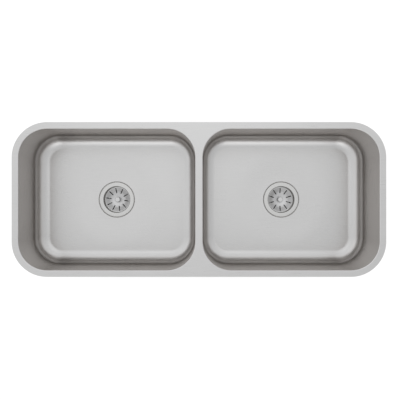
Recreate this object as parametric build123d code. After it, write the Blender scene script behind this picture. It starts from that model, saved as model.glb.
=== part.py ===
# Undermount double bowl kitchen sink of pressed stainless steel, with a basket strainer waste in each bowl.
#
# Frame: the origin is the centre of the rim's top face, midway between the bowls. +X runs along the two
# bowls, +Z points up, and both bowls hang below the origin. Sizes are millimetres and degrees.
# Each waste is modelled about its own axis with height 0 at its flange's face, and then put in its bowl.

from build123d import *
import os
from math import cos, radians, tan

# ---------------------------------------------------------------- driving dimensions: sink
sheet = 1.2                    # steel of the rim and the bowls
rim_width = 19.0               # flat rim outside the bowls
divider_width = 22.0           # flat strip between the bowls
bowl_length = 500.0            # opening along X
bowl_width = 400.0             # opening along Y
bowl_depth = 200.0             # rim face to the waste's flange
bowl_corner_radius = 81.0      # corners of the opening
floor_round = 40.0             # pressed radius between wall and floor
wall_draft = 0.1               # lean of the walls, degrees
edge_bend = 1.3                # inner radius of the bend from rim to bowl
collar_straight = 3.5          # straight collar below that bend, down to the weld
floor_fall = 1.5               # drop of the floor towards the waste
floor_margin = 8.0             # flat floor between the pressed radius and the fall

# ---------------------------------------------------------------- driving dimensions: sound pads
pad_thickness = 3.0
pad_corner = 8.0
floor_pad_length = 68.0        # along X, one each side of the waste
floor_pad_width = 120.0
wall_pad_length = 300.0        # along X, one on each long wall
wall_pad_height = 100.0
pad_gap = 8.0                  # from a floor pad to the recess round the waste

# ---------------------------------------------------------------- driving dimensions: strainer cup
cup_sheet = 1.2
mouth_radius = 41.2            # wall of the cup above its ledge
mouth_round = 2.0              # pressed radius between flange and wall
flange_overlap = 10.0          # flange beyond the hole in the floor
flange_lip = 2.0               # flange's edge, turned down to the recess
hole_clearance = 2.6           # cup's wall to the hole in the floor
recess_clearance = 0.6         # flange's edge to the wall of the recess
recess_slope = 1.8             # run of that sloping wall
seal_thickness = 1.0           # seal between flange and floor
seal_clearance = 0.4           # seal to the hole's edge and to the flange's lip
ledge_depth = 22.0             # flange's face to the ledge that the basket sits on
ledge_width = 2.8
cup_depth = 51.0               # flange's face to the cup's floor
cup_taper = 2.4                # narrowing from the ledge to the floor
cup_floor_round = 5.0
neck_radius = 22.2             # bore of the threaded outlet
neck_round = 2.0
neck_length = 21.0
bar_width = 3.0                # cross bars welded in the outlet
bar_height = 3.0
bar_drop = 3.5                 # cup's floor to the top of the bars
hub_radius = 8.5               # ring at the crossing, which the catch goes through

# ---------------------------------------------------------------- driving dimensions: fixing under the floor
thread_clearance = 0.1         # locknut on the cup, coupling nut on the neck
gasket_thickness = 3.0
friction_ring_thickness = 0.8
washer_overlap = 11.0          # gasket and friction ring beyond the hole in the floor
locknut_height = 12.0
locknut_wall = 7.0
locknut_flange_height = 2.5
locknut_flange_step = 5.0      # flange beyond the locknut's wall
lug_count = 8
lug_width = 9.0
lug_round = 1.5

# ---------------------------------------------------------------- driving dimensions: basket and stopper
slot_count = 10
slot_width = 3.0
slot_inner_radius = 20.5
slot_outer_radius = 37.0
right_slot_angle = 18.0        # first slot, counter-clockwise from +X
left_basket_turn = 10.0        # the left basket stands turned by this much
dish_sheet = 0.8
dish_clearance = 1.6           # dish in the cup's mouth
dish_lip_width = 1.3
dish_depth = 8.0
dish_floor_radius = 18.0
dish_lip_round = 1.5
dish_floor_round = 50.0        # wide, so that the side is dished
seat_gap = 0.3                 # dish's lip over the ledge, while the stopper seals
post_radius = 4.0
post_collar_radius = 8.0
post_collar_height = 5.5
post_tip_radius = 2.5
running_clearance = 0.08       # the post turns in the stopper
knob_radius = 8.0
knob_height = 12.0             # above the dish's floor
knob_rim = 3.0
knob_neck_radius = 5.4
knob_foot_radius = 7.0
knob_round = 1.0
knob_socket_depth = 6.5
stopper_radius = 28.5
stopper_edge = 3.5
stopper_neck_radius = 9.0
stopper_skirt_height = 8.0
axial_gap = 0.3
clip_radius = 6.5
clip_thickness = 0.8
catch_radius = 4.7
catch_end_radius = 3.6
catch_length = 8.0
catch_clearance = 0.3          # catch in the ring of the cross bars

# ---------------------------------------------------------------- driving dimensions: tailpiece
tail_radius = 19.05            # outside of the 1 1/2 inch tube
tail_wall = 1.2
tail_length = 100.0
tail_bend = 2.0
tail_washer_thickness = 2.0
coupling_clearance = 1.15      # coupling nut's lower hole round the tube
coupling_wall = 3.6            # thinnest wall, at the flats
coupling_lip = 3.5
coupling_grip = 12.0           # length on the neck's thread
coupling_chamfer = 1.6

# ---------------------------------------------------------------- sizes that follow: sink
deck_length = 2 * bowl_length + divider_width + 2 * rim_width
deck_width = bowl_width + 2 * rim_width
deck_corner_radius = bowl_corner_radius + rim_width
bowl_offset = (bowl_length + divider_width) / 2
collar_depth = edge_bend + sheet + collar_straight
overshoot = 10.0               # how far a cutting form passes the face that it cuts
hole_radius = mouth_radius + cup_sheet + hole_clearance
flange_radius = hole_radius + flange_overlap
recess_depth = seal_thickness + cup_sheet
recess_floor_radius = flange_radius + recess_clearance
recess_rim_radius = recess_floor_radius + recess_slope
fall_radius = min(bowl_length, bowl_width) / 2 - floor_round - floor_margin

# ---------------------------------------------------------------- heights that follow, from a flange's face
floor_edge_height = floor_fall
under_floor = -recess_depth - sheet
gasket_low = under_floor - gasket_thickness
friction_ring_low = gasket_low - friction_ring_thickness
locknut_low = friction_ring_low - locknut_height
cup_wall_radius = mouth_radius + cup_sheet
washer_radius = hole_radius + washer_overlap
dish_lip_height = -ledge_depth + seat_gap + dish_sheet
dish_floor_height = dish_lip_height - dish_depth
dish_radius = mouth_radius - dish_clearance
post_collar_high = dish_floor_height - dish_sheet
post_collar_low = post_collar_high - post_collar_height
stopper_high = post_collar_low - axial_gap
stopper_low = -cup_depth
clip_high = stopper_low - axial_gap
clip_low = clip_high - clip_thickness
catch_low = clip_low - catch_length
bars_high = -cup_depth - bar_drop
neck_low = -cup_depth - neck_length
neck_outer_radius = neck_radius + cup_sheet
tail_high = neck_low - tail_washer_thickness
tail_low = tail_high - tail_length
tail_flange_radius = neck_outer_radius
coupling_high = neck_low + coupling_grip
coupling_ledge = tail_high - tail_wall
coupling_low = coupling_ledge - coupling_lip


# ---------------------------------------------------------------- ways of making
def outline(points, radii):
    """Closed section from (radius, height) points, each corner rounded by its own radius."""
    return make_face(FilletPolyline(*points, radius=radii, close=True))


def pressed(points, radii, thickness):
    """Section of pressed sheet: the points run down and inwards on its upper skin, which has rounded bends."""
    skin = FilletPolyline(*points, radius=radii)
    return make_face(offset(skin, thickness, side=Side.LEFT))


def turned(section):
    """Solid of revolution about the vertical axis."""
    return revolve(Plane.XZ * section, axis=Axis.Z)


def ring(inner, outer, low, high):
    """Flat or tubular ring between two heights."""
    return Pos(0, 0, low) * extrude(Circle(outer) - Circle(inner), high - low)


def disc(radius, low, high):
    """Plain round solid between two heights."""
    return Pos(0, 0, low) * extrude(Circle(radius), high - low)


def slab(length, width, low, high):
    """Plain block centred on the axis between two heights."""
    return Pos(0, 0, low) * extrude(Rectangle(length, width), high - low)


# ---------------------------------------------------------------- rim and bowls
def bowl_form(grow):
    """The bowl's hollow as a solid about its own centre, with every skin moved out by grow."""
    low = floor_edge_height - bowl_depth - grow

    def section(height):
        lean = 2 * (grow + height * tan(radians(wall_draft)))
        corner = bowl_corner_radius + lean / 2
        return Pos(0, 0, height) * RectangleRounded(bowl_length + lean, bowl_width + lean, corner)

    walls = loft([section(low), section(overshoot)], ruled=True)
    return fillet(walls.faces().sort_by(Axis.Z)[0].edges(), floor_round + grow)


def fall_section(drop, thickness, inner_radius):
    """Section of the middle of the floor: a smooth fall, then the recess for the flange."""
    start = (fall_radius, floor_edge_height - drop)
    rim = (recess_rim_radius + sheet, -drop)
    fall = Spline(start, rim, tangents=[(-1, 0), (-1, 0)])
    recess = FilletPolyline(
        rim,
        (recess_rim_radius, -drop),
        (recess_floor_radius, -drop - recess_depth),
        (inner_radius, -drop - recess_depth),
        radius=[sheet / 2, sheet / 2],
    )
    skin = [*fall.edges(), *recess.edges()]
    under = [Pos(0, -thickness) * edge for edge in skin]
    ends = [Line(skin[0] @ 0, under[0] @ 0), Line(skin[-1] @ 1, under[-1] @ 1)]
    return make_face(skin + under + ends)


def make_deck():
    """Rim and divider in one sheet, turned down into a short collar round each bowl."""
    deck = Pos(0, 0, -sheet) * extrude(RectangleRounded(deck_length, deck_width, deck_corner_radius), sheet)
    collar_form = bowl_form(sheet) & slab(deck_length, deck_width, -collar_depth, 0)
    hollow = bowl_form(0)
    for side in (-1, 1):
        deck = deck + Pos(side * bowl_offset, 0, 0) * collar_form
    for side in (-1, 1):
        deck = deck - Pos(side * bowl_offset, 0, 0) * hollow
    flat_faces = deck.faces().filter_by(Axis.Z)
    top = flat_faces.sort_by(Axis.Z)[-1]
    edges_above = [edge for wire in top.inner_wires() for edge in wire.edges()]
    deck = fillet(edges_above, edge_bend + sheet)
    under = [face for face in deck.faces().filter_by(Axis.Z) if abs(face.center().Z + sheet) < sheet / 10]
    edges_below = [edge for face in under for wire in face.inner_wires() for edge in wire.edges()]
    return fillet(edges_below, edge_bend)


def make_bowl():
    """Pressed bowl below the weld: leaning walls, rounded floor, fall, recess and hole for the waste."""
    bowl = bowl_form(sheet) - bowl_form(0)
    bowl = bowl - slab(deck_length, deck_width, -collar_depth, 2 * overshoot)
    bowl = bowl - disc(fall_radius, -bowl_depth - overshoot, -bowl_depth + overshoot)
    return bowl + Pos(0, 0, -bowl_depth) * turned(fall_section(0, sheet, hole_radius))


def make_floor_pads():
    """Sound pads glued under the floor, one each side of the waste, following the floor's fall."""
    blanket = Pos(0, 0, -bowl_depth) * turned(fall_section(sheet, pad_thickness, hole_radius))
    near = recess_rim_radius + pad_gap
    centre = near + floor_pad_length / 2
    cutter = Sketch()
    for side in (-1, 1):
        cutter += Pos(side * centre, 0) * RectangleRounded(floor_pad_length, floor_pad_width, pad_corner)
    reach = -bowl_depth - 2 * overshoot
    return blanket & Pos(0, 0, reach) * extrude(cutter, 3 * overshoot)


def make_wall_pads():
    """Sound pads glued outside the two long walls, halfway down."""
    face = Plane.XZ * RectangleRounded(wall_pad_length, wall_pad_height, pad_corner)
    block = extrude(face, bowl_width / 2 + sheet + pad_thickness, both=True)
    near = extrude(face, bowl_width / 2 - overshoot, both=True)
    placed = Pos(0, 0, -bowl_depth / 2) * (block - near)
    return placed - bowl_form(sheet)


# ---------------------------------------------------------------- strainer cup and its fixing
def make_cup():
    """Flange, cup and outlet neck in one pressing, with a ledge inside for the basket."""
    floor_radius = mouth_radius - ledge_width - cup_taper
    return turned(pressed(
        [
            (flange_radius, -flange_lip),
            (flange_radius, 0),
            (mouth_radius, 0),
            (mouth_radius, -ledge_depth),
            (mouth_radius - ledge_width, -ledge_depth),
            (floor_radius, -cup_depth),
            (neck_radius, -cup_depth),
            (neck_radius, neck_low),
        ],
        [cup_sheet * 1.25, mouth_round, cup_sheet / 2, cup_sheet * 1.25, cup_floor_round, neck_round],
        cup_sheet,
    ))


def make_cross_bars():
    """Ring on four bars, welded into the outlet neck, which the basket's catch snaps through."""
    low = bars_high - bar_height
    reach = 2 * neck_radius + overshoot
    bars = slab(reach, bar_width, low, bars_high) + slab(bar_width, reach, low, bars_high)
    bars = bars & disc(neck_radius, low, bars_high)
    bars = bars + disc(hub_radius, low, bars_high)
    return bars - disc(catch_radius + catch_clearance, low - overshoot, bars_high + overshoot)


def make_flange_seal():
    """Seal squeezed between the flange and the recess in the floor."""
    outer = flange_radius - cup_sheet - seal_clearance
    return ring(hole_radius + seal_clearance, outer, -recess_depth, -cup_sheet)


def make_gasket():
    """Rubber gasket under the floor."""
    return ring(cup_wall_radius + thread_clearance, washer_radius, gasket_low, under_floor)


def make_friction_ring():
    """Fibre ring on which the locknut turns without dragging the gasket."""
    return ring(cup_wall_radius + thread_clearance, washer_radius, friction_ring_low, gasket_low)


def make_locknut():
    """Locknut with a flange against the friction ring and lugs for a spanner."""
    bore = cup_wall_radius + thread_clearance
    wall = bore + locknut_wall
    lug = RectangleRounded(2 * locknut_flange_step, lug_width, lug_round)
    body = Circle(wall) + PolarLocations(wall, lug_count) * lug - Circle(bore)
    nut = Pos(0, 0, locknut_low) * extrude(body, locknut_height)
    flange_low = friction_ring_low - locknut_flange_height
    return nut + ring(bore, wall + locknut_flange_step, flange_low, friction_ring_low)


# ---------------------------------------------------------------- basket and stopper
def make_dish(first_slot):
    """Pressed basket: a narrow lip, a dished side with radial slots, and a hole for the post."""
    side_top = dish_radius - dish_lip_width
    dish = turned(pressed(
        [
            (dish_radius, dish_lip_height),
            (side_top, dish_lip_height),
            (dish_floor_radius, dish_floor_height),
            (post_radius, dish_floor_height),
        ],
        [dish_lip_round, dish_floor_round],
        dish_sheet,
    ))
    middle = (slot_inner_radius + slot_outer_radius) / 2
    slot = SlotOverall(slot_outer_radius - slot_inner_radius, slot_width)
    slots = Sketch() + PolarLocations(middle, slot_count, start_angle=first_slot) * slot
    below = dish_floor_height - overshoot
    return dish - Pos(0, 0, below) * extrude(slots, dish_depth + 2 * overshoot)


def make_knob():
    """Finger knob: a rounded head on a waisted neck, with a socket for the post."""
    top = dish_floor_height + knob_height
    socket_top = dish_floor_height + knob_socket_depth
    half = outline(
        [
            (0, top),
            (knob_radius, top),
            (knob_radius, top - knob_rim),
            (knob_neck_radius, top - knob_rim - knob_radius / 3),
            (knob_neck_radius, dish_floor_height + knob_round * 2),
            (knob_foot_radius, dish_floor_height),
            (post_radius, dish_floor_height),
            (post_radius, socket_top),
            (0, socket_top),
        ],
        [0, knob_round, knob_round, knob_round, knob_round, 0, 0, 0, 0],
    )
    return turned(half)


def make_post():
    """Post riveted through the dish: a spigot in the knob, a collar under the dish, a shaft and a thin tip."""
    top = dish_floor_height + knob_socket_depth
    half = outline(
        [
            (0, top),
            (post_radius, top),
            (post_radius, post_collar_high),
            (post_collar_radius, post_collar_high),
            (post_collar_radius, post_collar_low),
            (post_radius, post_collar_low),
            (post_radius, clip_low),
            (post_tip_radius, clip_low),
            (post_tip_radius, catch_low),
            (0, catch_low),
        ],
        [0] * 10,
    )
    return turned(half)


def make_stopper():
    """Rubber stopper: a neck that widens into a skirt, flat below where it seals on the cup's floor."""
    hole = post_radius + running_clearance
    edge_top = stopper_low + stopper_edge
    neck_foot = edge_top + stopper_skirt_height
    half = outline(
        [
            (hole, stopper_high),
            (stopper_neck_radius, stopper_high),
            (stopper_neck_radius, neck_foot),
            (stopper_radius, edge_top),
            (stopper_radius, stopper_low),
            (hole, stopper_low),
        ],
        [0, 1.0, stopper_edge, 1.0, 0, 0],
    )
    return turned(half)


def make_stopper_clip():
    """Clip on the post that holds the stopper up against the collar."""
    return ring(post_radius, clip_radius, clip_low, clip_high)


def make_catch():
    """Barrel-shaped catch on the post's tip, which snaps through the ring of the cross bars."""
    middle = (clip_low + catch_low) / 2
    side = ThreePointArc((catch_end_radius, clip_low), (catch_radius, middle), (catch_end_radius, catch_low))
    corners = [
        (catch_end_radius, catch_low),
        (post_tip_radius, catch_low),
        (post_tip_radius, clip_low),
        (catch_end_radius, clip_low),
    ]
    return turned(make_face(side.edges() + Polyline(*corners).edges()))


# ---------------------------------------------------------------- tailpiece
def make_tail_washer():
    """Washer between the outlet neck and the tailpiece's flange."""
    return ring(tail_radius - tail_wall + tail_bend / 2, tail_flange_radius, tail_high, neck_low)


def make_tailpiece():
    """Tube with a turned-out flange at its top."""
    bore = tail_radius - tail_wall
    skin = [(tail_flange_radius, tail_high), (bore, tail_high), (bore, tail_low)]
    return turned(pressed(skin, [tail_bend], tail_wall))


def make_coupling_nut():
    """Hexagon nut that draws the tailpiece's flange up against the neck."""
    bore = neck_outer_radius + thread_clearance
    apothem = bore + coupling_wall
    corner_radius = apothem / cos(radians(30))
    height = coupling_high - coupling_low
    prism = Pos(0, 0, coupling_low) * extrude(RegularPolygon(corner_radius, 6), height)
    rounded = outline(
        [
            (0, coupling_high),
            (corner_radius - coupling_chamfer, coupling_high),
            (corner_radius, coupling_high - coupling_chamfer),
            (corner_radius, coupling_low + coupling_chamfer),
            (corner_radius - coupling_chamfer, coupling_low),
            (0, coupling_low),
        ],
        [0] * 6,
    )
    nut = prism & turned(rounded)
    nut = nut - disc(bore, coupling_ledge, coupling_high + overshoot)
    return nut - disc(tail_radius + coupling_clearance, coupling_low - overshoot, coupling_high)


# ---------------------------------------------------------------- the whole sink
def write(node, shape):
    """One file per sub-part, named after it."""
    export_step(shape, f"parts/{node}.step")


def main():
    os.makedirs("parts", exist_ok=True)
    write("deck", make_deck())
    bowl_pieces = {"bowl": make_bowl(), "floor_pads": make_floor_pads(), "wall_pads": make_wall_pads()}
    waste_pieces = {
        "strainer_cup": make_cup(),
        "cross_bars": make_cross_bars(),
        "flange_seal": make_flange_seal(),
        "gasket": make_gasket(),
        "friction_ring": make_friction_ring(),
        "locknut": make_locknut(),
        "basket_dish": make_dish(right_slot_angle),
        "basket_knob": make_knob(),
        "basket_post": make_post(),
        "stopper": make_stopper(),
        "stopper_clip": make_stopper_clip(),
        "catch": make_catch(),
        "tail_washer": make_tail_washer(),
        "tailpiece": make_tailpiece(),
        "coupling_nut": make_coupling_nut(),
    }
    for side_name, side, turn in (("left", -1, left_basket_turn), ("right", 1, 0)):
        place = Pos(side * bowl_offset, 0, 0)
        for name, shape in bowl_pieces.items():
            write(f"{side_name}_{name}", place * shape)
        for name, shape in waste_pieces.items():
            angle = turn if name == "basket_dish" else 0
            write(f"{side_name}_{name}", place * Pos(0, 0, -bowl_depth) * Rot(0, 0, angle) * shape)


main()
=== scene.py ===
"""Looks of the double bowl kitchen sink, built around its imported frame. Sizes are metres and degrees.

The sink hangs below the origin, which is the centre of the rim's top face. +X runs along the two bowls.
Each waste is drawn about its own axis, with height 0 at its flange's face.
"""
from math import cos, hypot, pi, radians, tan

import bpy
from mathutils import Matrix, Vector


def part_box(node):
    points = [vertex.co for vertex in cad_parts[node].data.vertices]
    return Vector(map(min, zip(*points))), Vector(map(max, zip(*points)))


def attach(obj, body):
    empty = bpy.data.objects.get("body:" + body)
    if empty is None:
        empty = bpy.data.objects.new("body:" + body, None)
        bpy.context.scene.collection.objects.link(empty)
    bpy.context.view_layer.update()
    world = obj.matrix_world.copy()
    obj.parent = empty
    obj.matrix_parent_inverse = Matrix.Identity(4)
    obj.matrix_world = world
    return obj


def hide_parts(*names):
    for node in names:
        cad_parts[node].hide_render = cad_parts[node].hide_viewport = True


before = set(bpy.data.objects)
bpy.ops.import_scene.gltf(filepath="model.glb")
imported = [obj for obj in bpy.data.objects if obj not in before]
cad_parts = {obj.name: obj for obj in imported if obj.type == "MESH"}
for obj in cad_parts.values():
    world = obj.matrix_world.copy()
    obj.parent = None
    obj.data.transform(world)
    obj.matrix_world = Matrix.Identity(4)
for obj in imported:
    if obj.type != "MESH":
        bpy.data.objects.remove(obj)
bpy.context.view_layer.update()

MM = 0.001
SAME_PLACE = 0.01 * MM         # nearer than this is the same place
SAME_POINT = 0.001 * MM        # nearer points than this are merged
OVERSHOOT = 1 * MM             # how far a cutting piece passes the face that it cuts
BEND_STEPS = (3, 16)           # fewest and most facets of a bend in a half-section
BEND_STEPS_PER_MM = 1.5

# ---------------------------------------------------------------- sizes: rim and bowls
SHEET = 1.2 * MM
EDGE_ROUND = 2.5 * MM          # visible radius from the rim down into a bowl
OPENING_CORNER = 81 * MM
FLOOR_ROUND = 40 * MM
WALL_DRAFT = 0.1               # degrees
FLOOR_FALL = 1.5 * MM
FALL_RADIUS = 152 * MM
CORNER_STEPS = 32              # facets of a quarter round seen from above
FLOOR_STEPS = 20               # facets of the round between wall and floor
FALL_STEPS = 14
TURN_STEPS = 4 * (CORNER_STEPS + 1)
SHEET_EDGE = 0.25 * MM         # broken edges of the rim's sheet and of the tube's end
PAD_EDGE = 0.8 * MM

# ---------------------------------------------------------------- sizes: strainer cup, from its flange's face
FLANGE_RADIUS = 55 * MM
FLANGE_LIP = 2 * MM
MOUTH_RADIUS = 41.2 * MM
MOUTH_ROUND = 2 * MM
HOLE_RADIUS = 45 * MM
RECESS_DEPTH = 2.2 * MM
RECESS_FLOOR_RADIUS = 55.6 * MM
RECESS_RIM_RADIUS = 57.4 * MM
LEDGE_DEPTH = 22 * MM
LEDGE_WIDTH = 2.8 * MM
CUP_DEPTH = 51 * MM
CUP_TAPER = 2.4 * MM
CUP_FLOOR_ROUND = 5 * MM
CUP_BEND = 1.5 * MM            # flange's edge and the ledge's inner edge
CUP_TIGHT_BEND = 0.6 * MM      # corner between wall and ledge
CUP_OUTER_BEND = 0.9 * MM      # the same corner from outside
CUP_CREASE = 0.3 * MM
NECK_RADIUS = 22.2 * MM
NECK_LOW = -72 * MM
NECK_ROUND = 2 * MM
THREAD_PITCH = 2 * MM
THREAD_DEPTH = 0.5 * MM
BAR_WIDTH = 3 * MM
BAR_HEIGHT = 3 * MM
BARS_HIGH = -54.5 * MM
HUB_RADIUS = 8.5 * MM
HUB_HOLE = 5 * MM
BAR_EDGE = 0.3 * MM

# ---------------------------------------------------------------- sizes: what fixes the cup under the floor
SEAL_INNER = 45.4 * MM
SEAL_OUTER = 53.4 * MM
WASHER_BORE = 42.5 * MM
WASHER_RADIUS = 56 * MM
GASKET_HIGH = -3.4 * MM
GASKET_LOW = -6.4 * MM
FIBRE_LOW = -7.2 * MM
LOCKNUT_LOW = -19.2 * MM
LOCKNUT_WALL = 49.5 * MM
LOCKNUT_FLANGE = 54.5 * MM
LOCKNUT_FLANGE_HEIGHT = 2.5 * MM
LUG_COUNT = 8
LUG_WIDTH = 9 * MM
LUG_ROUND = 1.5 * MM
LUG_IN_FLANGE = 0.5 * MM       # how far a lug reaches up into the flange
LOCKNUT_EDGE = 0.4 * MM
SEAL_EDGE = 0.3 * MM
GASKET_EDGE = 0.8 * MM
FIBRE_EDGE = 0.15 * MM

# ---------------------------------------------------------------- sizes: basket and stopper
DISH_SHEET = 0.8 * MM
DISH_RADIUS = 39.6 * MM
DISH_SIDE_TOP = 38.3 * MM
DISH_FLOOR_RADIUS = 18 * MM
DISH_LIP_HEIGHT = -20.9 * MM
DISH_FLOOR_HEIGHT = -28.9 * MM
DISH_LIP_ROUND = 1.5 * MM
DISH_FLOOR_ROUND = 50 * MM
SLOT_COUNT = 10
SLOT_WIDTH = 3 * MM
SLOT_INNER = 20.5 * MM
SLOT_OUTER = 37 * MM
SLOT_END = 0.498 * SLOT_WIDTH  # round of a slot's end, just under half its width
FIRST_SLOT = 28                # left basket, counter-clockwise from +X
RIGHT_BASKET_TURN = -10        # the right basket stands turned by this from the left one
POST_RADIUS = 4 * MM
POST_COLLAR = 8 * MM
POST_COLLAR_LOW = -35.2 * MM
POST_TIP = 2.5 * MM
POST_LOW = -60.1 * MM
POST_EDGE = 0.3 * MM
POST_TIP_EDGE = 0.4 * MM
KNOB_RADIUS = 8 * MM
KNOB_TOP = -16.9 * MM
KNOB_RIM = 3 * MM
KNOB_NECK = 5.4 * MM
KNOB_FOOT = 7 * MM
KNOB_ROUND = 1 * MM
SOCKET_TOP = -22.4 * MM
STOPPER_RADIUS = 28.5 * MM
STOPPER_BORE = 4.08 * MM       # the post turns in it
STOPPER_HIGH = -35.5 * MM
STOPPER_NECK = 9 * MM
STOPPER_NECK_FOOT = -39.5 * MM
STOPPER_EDGE = 3.5 * MM
STOPPER_ROUND = 1 * MM
STOPPER_LOW_EDGE = 0.4 * MM
CLIP_RADIUS = 6.5 * MM
CLIP_HIGH = -51.3 * MM
CLIP_LOW = -52.1 * MM
CLIP_EDGE = 0.2 * MM
CATCH_RADIUS = 4.7 * MM
CATCH_END = 3.6 * MM
CATCH_EDGE = 0.4 * MM
CATCH_BARREL = 5 * MM          # rounds that blend its barrel's facets

# ---------------------------------------------------------------- sizes: tailpiece
TAIL_RADIUS = 19.05 * MM
TAIL_WALL = 1.2 * MM
TAIL_FLANGE = 23.4 * MM
TAIL_HIGH = -74 * MM
TAIL_LOW = -174 * MM
TAIL_BEND = 2 * MM
WASHER_HOLE = TAIL_RADIUS - TAIL_WALL + TAIL_BEND / 2
NUT_BORE = 23.5 * MM
NUT_APOTHEM = 27.1 * MM
NUT_HIGH = -60 * MM
NUT_LEDGE = -75.2 * MM
NUT_LOW = -78.7 * MM
NUT_HOLE = 20.2 * MM
NUT_CHAMFER = 1.6 * MM
NUT_EDGE = 0.35 * MM

# ---------------------------------------------------------------- places that follow
DECK_LOW, DECK_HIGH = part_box("deck")
BOWL_LOW, BOWL_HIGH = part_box("left_bowl")
FLANGE_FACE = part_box("left_strainer_cup")[1].z
BOWL_X = (BOWL_LOW.x + BOWL_HIGH.x) / 2
SPACING = 2 * abs(BOWL_X)
WELD = BOWL_HIGH.z             # where collar and bowl meet
WASTE = Vector((BOWL_X, 0, FLANGE_FACE))
FLOOR_EDGE = FLANGE_FACE + FLOOR_FALL
HALF_LENGTH = (BOWL_HIGH.x - BOWL_LOW.x) / 2 - SHEET
HALF_WIDTH = (BOWL_HIGH.y - BOWL_LOW.y) / 2 - SHEET
LEAN = (WELD - FLOOR_EDGE) * tan(radians(WALL_DRAFT))


# ---------------------------------------------------------------- ways of modelling
def choose(piece):
    """Makes this the one piece that operators act on."""
    for other in bpy.context.selected_objects:
        other.select_set(False)
    piece.select_set(True)
    bpy.context.view_layer.objects.active = piece


def open_mesh(piece):
    choose(piece)
    bpy.ops.object.mode_set(mode="EDIT")


def close_mesh():
    bpy.ops.object.mode_set(mode="OBJECT")


def name_it(name):
    """Names the new primitive and puts its place into its mesh."""
    piece = bpy.context.object
    piece.name = piece.data.name = name
    choose(piece)
    bpy.ops.object.transform_apply(location=True, rotation=True, scale=True)
    return piece


def pick(piece, kind, test):
    """In edit mode, selects the vertices, edges or faces whose places pass the test."""
    bpy.ops.mesh.select_mode(type=kind)
    bpy.ops.mesh.select_all(action="DESELECT")
    bpy.ops.object.mode_set(mode="OBJECT")
    points = piece.data.vertices
    if kind == "FACE":
        for face in piece.data.polygons:
            face.select = all(test(points[corner].co) for corner in face.vertices)
    elif kind == "EDGE":
        for edge in piece.data.edges:
            edge.select = all(test(points[end].co) for end in edge.vertices)
    else:
        for point in points:
            point.select = test(point.co)
    bpy.ops.object.mode_set(mode="EDIT")


def level(height):
    """Test for places at a height."""
    return lambda place: abs(place.z - height) < SAME_PLACE


def merge_and_face_out():
    """In edit mode: doubles merged, then all faces turned the same way."""
    bpy.ops.mesh.select_all(action="SELECT")
    bpy.ops.mesh.remove_doubles(threshold=SAME_POINT)
    bpy.ops.mesh.normals_make_consistent(inside=False)


def apply_modifier(piece, kind, **settings):
    choose(piece)
    modifier = piece.modifiers.new(kind.lower(), kind)
    for setting, value in settings.items():
        setattr(modifier, setting, value)
    bpy.ops.object.modifier_apply(modifier=modifier.name)


def thicken(piece, thickness):
    """Gives a skin that is seen from above its sheet thickness, on its far side."""
    if sum(face.normal.z * face.area for face in piece.data.polygons) < 0:
        open_mesh(piece)
        bpy.ops.mesh.select_all(action="SELECT")
        bpy.ops.mesh.flip_normals()
        close_mesh()
    apply_modifier(piece, "SOLIDIFY", thickness=thickness, offset=-1, use_even_offset=True)


def soften(piece, width, segments=2, angle=50):
    """Breaks the sharp edges."""
    apply_modifier(piece, "BEVEL", width=width, segments=segments, limit_method="ANGLE",
                   angle_limit=radians(angle), loop_slide=False)


def shade(piece, angle=35):
    """Smooth shading up to an angle, with flat faces kept flat."""
    choose(piece)
    bpy.ops.object.shade_smooth_by_angle(angle=radians(angle))
    apply_modifier(piece, "WEIGHTED_NORMAL", keep_sharp=True)
    return piece


def cut(piece, cutter, operation="DIFFERENCE"):
    """Cuts, joins or trims a piece by another, which is used up."""
    apply_modifier(piece, "BOOLEAN", object=cutter, operation=operation, solver="EXACT")
    bpy.data.objects.remove(cutter)
    return piece


def rounded_loop(length, width, corner, centre):
    """In edit mode, adds a level loop of edges: a rectangle with round corners."""
    bpy.ops.mesh.primitive_plane_add(size=1, location=centre)
    bpy.ops.transform.resize(value=(length, width, 1), center_override=centre)
    bpy.ops.mesh.bevel(offset=corner, segments=CORNER_STEPS, affect="VERTICES", clamp_overlap=False)
    bpy.ops.mesh.delete(type="ONLY_FACE")


def block(name, length, width, low, high, centre):
    """A block between two heights."""
    bpy.ops.mesh.primitive_cube_add(size=1, location=(centre[0], centre[1], (low + high) / 2))
    bpy.context.object.scale = (length, width, high - low)
    return name_it(name)


def disc(name, radius, low, high, corners=TURN_STEPS):
    """A round or many-sided block on the waste's axis, between two heights from its flange's face."""
    middle = WASTE + Vector((0, 0, (low + high) / 2))
    bpy.ops.mesh.primitive_cylinder_add(vertices=corners, radius=radius, depth=high - low, location=middle)
    return name_it(name)


def half_section(name, points, rounds, closed):
    """A half-section drawn point by point from (radius, height) pairs, then rounded at its corners."""
    places = [WASTE + Vector((radius, 0, height)) for radius, height in points]
    bpy.ops.mesh.primitive_plane_add(size=MM, location=places[0])
    piece = name_it(name)
    open_mesh(piece)
    bpy.ops.mesh.select_mode(type="VERT")
    bpy.ops.mesh.merge(type="CENTER")
    for here, there in zip(places, places[1:]):
        bpy.ops.mesh.extrude_vertices_move(TRANSFORM_OT_translate={"value": there - here})
    if closed:
        ends = (places[0], places[-1])
        pick(piece, "VERT", lambda place: min((place - end).length for end in ends) < SAME_PLACE)
        bpy.ops.mesh.edge_face_add()
    for corner, radius in rounds.items():
        here, before, after = places[corner], places[corner - 1], places[(corner + 1) % len(places)]
        turn = (here - before).angle(after - here)
        pick(piece, "VERT", lambda place: (place - here).length < SAME_PLACE)
        steps = min(BEND_STEPS[1], BEND_STEPS[0] + round(BEND_STEPS_PER_MM * radius / MM))
        bpy.ops.mesh.bevel(offset=radius * tan(turn / 2), segments=steps, affect="VERTICES",
                           clamp_overlap=False)
    return piece


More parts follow.
